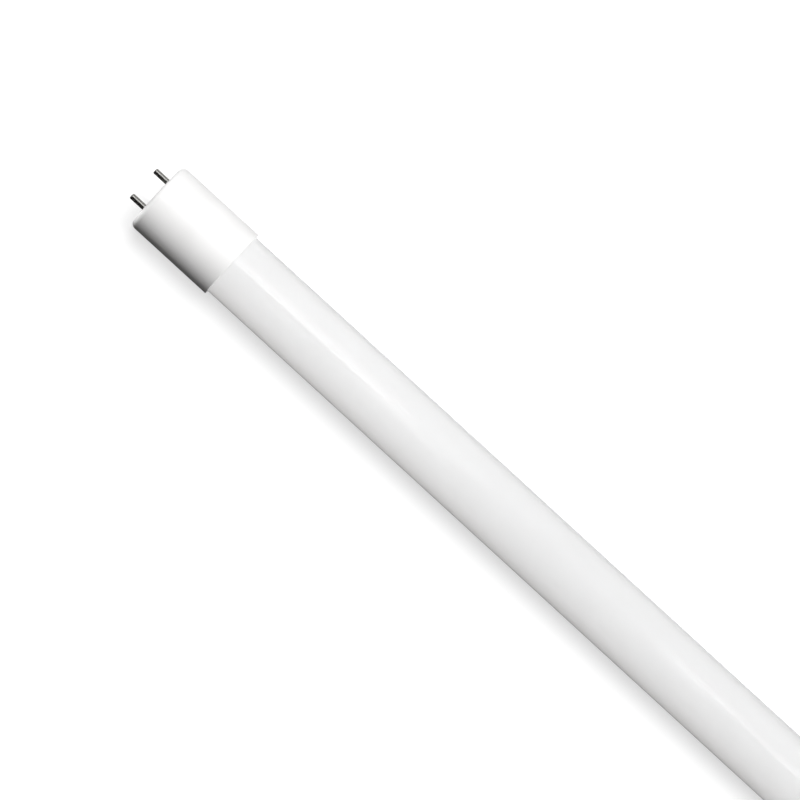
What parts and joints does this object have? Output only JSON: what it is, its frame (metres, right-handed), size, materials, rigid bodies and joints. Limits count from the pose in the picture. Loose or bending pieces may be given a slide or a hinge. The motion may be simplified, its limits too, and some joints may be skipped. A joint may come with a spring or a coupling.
{
  "type": "tube light",
  "caption": "Straight LED tube lamp: a milky glass tube with a white moulded cap and contact pins at each end.",
  "frame": {"origin": "middle of the lamp, on the axis of the tube", "axes": "+X along the tube from the live end to the far end, +Y across the pins of the live end, +Z out of the light side, with the LED board at the back of the glass"},
  "size_m": [0.6022, 0.0284, 0.0286],
  "materials": {
    "opal_glass": "milky, glossy",
    "cap_plastic": "satin moulded",
    "pin_nickel": "nickel plate",
    "silicone": "satin",
    "led_board_white": "satin",
    "led_body": "matte",
    "phosphor": "matte",
    "driver_board_green": "satin",
    "resistor_coat": "matte",
    "varistor_coat": "gloss",
    "film_coat": "gloss",
    "can_sleeve": "gloss",
    "package_black": "matte",
    "ferrite": "matte",
    "copper_wire": "enamelled",
    "lead_white": "satin",
    "lead_red": "satin",
    "lead_black": "satin"
  },
  "bodies": {
    "root": {"glass_tube": "opal_glass", "live_end_cap": "cap_plastic", "far_end_cap": "cap_plastic", "live_pin_left": "pin_nickel", "live_pin_right": "pin_nickel", "far_pin_left": "pin_nickel", "far_pin_right": "pin_nickel", "live_cap_glue": "silicone", "far_cap_glue": "silicone", "led_board_bond": "silicone", "led_board": "led_board_white", "led_packages": "led_body", "led_phosphors": "phosphor", "driver_board": "driver_board_green", "fusible_resistor": "resistor_coat", "varistor": "varistor_coat", "film_capacitor": "film_coat", "bulk_capacitor": "can_sleeve", "output_capacitor": "can_sleeve", "inductor_core": "ferrite", "inductor_winding": "copper_wire", "bridge_rectifier": "package_black", "controller_chip": "package_black", "freewheel_diode": "package_black", "sense_resistors": "package_black", "live_lead_left": "lead_white", "live_lead_right": "lead_white", "led_lead_positive": "lead_red", "led_lead_negative": "lead_black", "far_link_lead": "lead_white"}
  },
  "joints": []
}
